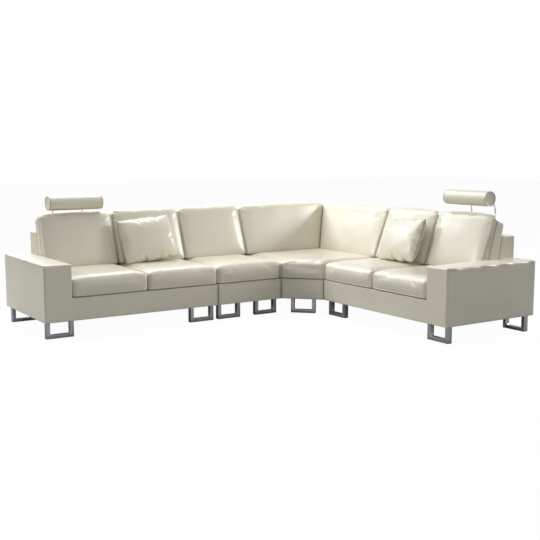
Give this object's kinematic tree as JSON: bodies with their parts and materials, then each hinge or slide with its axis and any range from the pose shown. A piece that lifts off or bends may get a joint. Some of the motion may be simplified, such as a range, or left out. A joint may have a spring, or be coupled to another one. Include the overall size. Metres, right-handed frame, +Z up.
{
  "type": "corner sofa",
  "caption": "Low corner sofa in ivory leather with square arms, a slanted corner seat, steel loop legs, sliding roller headrests and loose scatter pillows.",
  "frame": {"origin": "middle of the footprint's bounding box, on the floor", "axes": "+X along the longer run from its arm towards the corner, +Y towards the back of that run, +Z up"},
  "size_m": [3.16, 2.56, 1.0352],
  "materials": {
    "ivory_leather": "semi-gloss, fine grain",
    "leg_steel": "satin",
    "chromed_rod": "polished",
    "pale_timber": "sawn",
    "spring_steel": "dark oiled",
    "black_dust_cloth": "matt felt",
    "zinc_steel": "zinc plated",
    "dark_nylon": "moulded"
  },
  "bodies": {
    "sofa": {"base_screws": "zinc_steel", "corner_back_cover": "ivory_leather", "corner_back_cushion_left": "ivory_leather", "corner_back_cushion_right": "ivory_leather", "corner_back_leg": "leg_steel", "corner_base_cover": "ivory_leather", "corner_dust_cover": "black_dust_cloth", "corner_front_leg": "leg_steel", "corner_left_leg": "leg_steel", "corner_right_leg": "leg_steel", "corner_seat_cushion": "ivory_leather", "corner_seat_springs": "spring_steel", "corner_timber_frame": "pale_timber", "left_headrest_sleeves": "dark_nylon", "left_sofa_back_cover": "ivory_leather", "left_sofa_back_cushion_1": "ivory_leather", "left_sofa_back_cushion_2": "ivory_leather", "left_sofa_base_cover": "ivory_leather", "left_sofa_dust_cover": "black_dust_cloth", "left_sofa_front_inner_leg": "leg_steel", "left_sofa_front_outer_leg": "leg_steel", "left_sofa_rear_inner_leg": "leg_steel", "left_sofa_rear_outer_leg": "leg_steel", "left_sofa_seat_cushion_1": "ivory_leather", "left_sofa_seat_cushion_2": "ivory_leather", "left_sofa_seat_springs": "spring_steel", "left_sofa_timber_frame": "pale_timber", "right_headrest_sleeves": "dark_nylon", "right_sofa_back_cover": "ivory_leather", "right_sofa_back_cushion_1": "ivory_leather", "right_sofa_back_cushion_2": "ivory_leather", "right_sofa_base_cover": "ivory_leather", "right_sofa_dust_cover": "black_dust_cloth", "right_sofa_front_inner_leg": "leg_steel", "right_sofa_front_outer_leg": "leg_steel", "right_sofa_rear_inner_leg": "leg_steel", "right_sofa_rear_outer_leg": "leg_steel", "right_sofa_seat_cushion_1": "ivory_leather", "right_sofa_seat_cushion_2": "ivory_leather", "right_sofa_seat_springs": "spring_steel", "right_sofa_timber_frame": "pale_timber", "section_link_plates": "zinc_steel", "single_back_cover": "ivory_leather", "single_back_cushion": "ivory_leather", "single_base_cover": "ivory_leather", "single_dust_cover": "black_dust_cloth", "single_front_inner_leg": "leg_steel", "single_front_outer_leg": "leg_steel", "single_rear_inner_leg": "leg_steel", "single_rear_outer_leg": "leg_steel", "single_seat_cushion": "ivory_leather", "single_seat_springs": "spring_steel", "single_timber_frame": "pale_timber"},
    "left_headrest": {"left_headrest_roller": "ivory_leather", "left_headrest_rods": "chromed_rod"},
    "right_headrest": {"right_headrest_roller": "ivory_leather", "right_headrest_rods": "chromed_rod"},
    "left_pillow": {"left_scatter_pillow": "ivory_leather"},
    "right_pillow": {"right_scatter_pillow": "ivory_leather"}
  },
  "joints": [
    {"name": "left_headrest_height", "type": "slide", "parent": "sofa", "child": "left_headrest", "axis": [0, 0.1822, 0.9833], "range_m": [0, 0.1]},
    {"name": "right_headrest_height", "type": "slide", "parent": "sofa", "child": "right_headrest", "axis": [0.1822, 0, 0.9833], "range_m": [-0.05, 0.05]},
    {"name": "left_pillow_lift", "type": "slide", "parent": "sofa", "child": "left_pillow", "axis": [0, 0, 1], "range_m": [0, 0.3]},
    {"name": "right_pillow_lift", "type": "slide", "parent": "sofa", "child": "right_pillow", "axis": [0, 0, 1], "range_m": [0, 0.3]}
  ]
}
